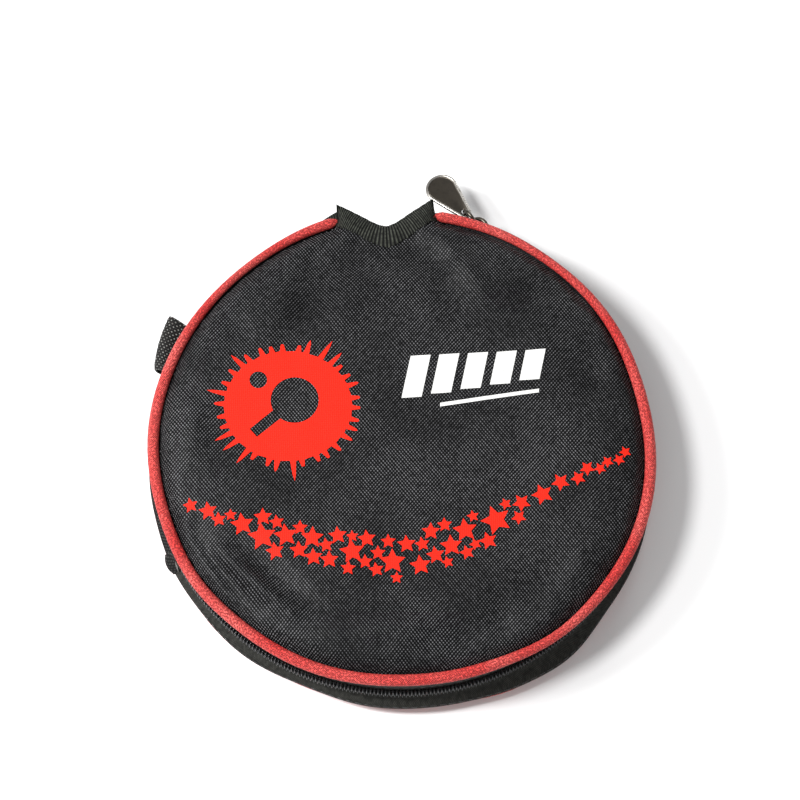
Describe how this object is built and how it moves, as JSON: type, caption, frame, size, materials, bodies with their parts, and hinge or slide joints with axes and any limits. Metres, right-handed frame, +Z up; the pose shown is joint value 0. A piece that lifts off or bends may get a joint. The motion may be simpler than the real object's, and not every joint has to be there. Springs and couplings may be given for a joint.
{
  "type": "table tennis bat case",
  "caption": "Round half-cover fabric case for a table tennis bat, with piped padded panels, a zip round the rim, a V notch for the handle and a webbing hang loop.",
  "frame": {"origin": "centre of the round case on the back panel's outer face, where it rests", "axes": "+Z up through the front panel, +Y towards the notch, +X to the zip's closed slider side"},
  "size_m": [0.1808, 0.1995, 0.0324],
  "materials": {
    "shell_fabric": "plain woven Oxford cloth",
    "gusset_fabric": "plain woven Oxford cloth",
    "ribbon": "ribbed grosgrain ribbon",
    "red_piping": "woven piping cover",
    "piping_cord": "soft cotton cord",
    "foam": "soft closed-cell foam",
    "lining": "thin woven lining",
    "seam_tape": "folded seam tape",
    "zip_tape": "woven zip tape",
    "zip_coil": "moulded nylon coil",
    "stop_metal": "plated clip",
    "slider_metal": "dark nickel plate",
    "tab_metal": "dark nickel plate",
    "webbing": "coarse woven webbing"
  },
  "bodies": {
    "back": {"back_panel": "shell_fabric", "back_foam": "foam", "back_lining": "lining", "back_notch_binding": "ribbon", "back_piping_cover": "red_piping", "back_piping_core": "piping_cord", "back_seam_binding": "seam_tape", "back_zip_tape": "zip_tape", "back_zip_coil": "zip_coil", "back_top_stop": "stop_metal", "zip_bottom_stop": "stop_metal", "zip_end_tab": "gusset_fabric", "hinge_gusset": "gusset_fabric", "hinge_gusset_lining": "lining", "gusset_end_binding": "ribbon", "hinge_panel": "shell_fabric", "hinge_foam": "foam", "hinge_lining": "lining", "hinge_piping_cover": "red_piping", "hinge_piping_core": "piping_cord", "hinge_seam_binding": "seam_tape", "hinge_zip_tape": "zip_tape"},
    "flap": {"front_panel": "shell_fabric", "front_foam": "foam", "front_lining": "lining", "front_notch_binding": "ribbon", "front_piping_cover": "red_piping", "front_piping_core": "piping_cord", "front_seam_binding": "seam_tape", "front_zip_tape": "zip_tape", "front_zip_coil": "zip_coil", "front_top_stop": "stop_metal"},
    "slider": {"slider_body": "slider_metal"},
    "link": {"pull_link": "slider_metal"},
    "tab": {"pull_tab": "tab_metal"},
    "loop": {"hang_loop": "webbing"}
  },
  "joints": [
    {"name": "flap_fold", "type": "hinge", "parent": "back", "child": "flap", "pos_m": [-0.04804, 0.02354, 0.034], "axis": [-0.4399, -0.898, 0], "range_deg": [0, 125]},
    {"name": "slider_travel", "type": "hinge", "parent": "back", "child": "slider", "pos_m": [0, 0, 0.016], "axis": [0, 0, -1], "range_deg": [0, 218.55]},
    {"name": "link_swing", "type": "hinge", "parent": "slider", "child": "link", "pos_m": [0.03379, 0.08578, 0.016], "axis": [0, 0, 1], "range_deg": [-110, 2]},
    {"name": "tab_swing", "type": "hinge", "parent": "link", "child": "tab", "pos_m": [0.03115, 0.08955, 0.016], "axis": [0.8192, 0.5736, 0], "range_deg": [-30, 60]},
    {"name": "loop_flex", "type": "hinge", "parent": "back", "child": "loop", "pos_m": [-0.07742, 0.0447, 0.016], "axis": [0.5, 0.866, 0], "range_deg": [-30, 30], "stiffness_Nm_per_rad": 0.005}
  ],
  "couplings": [
    {"joint": "slider_travel", "follows": "flap_fold", "ratio": 1.7484}
  ]
}
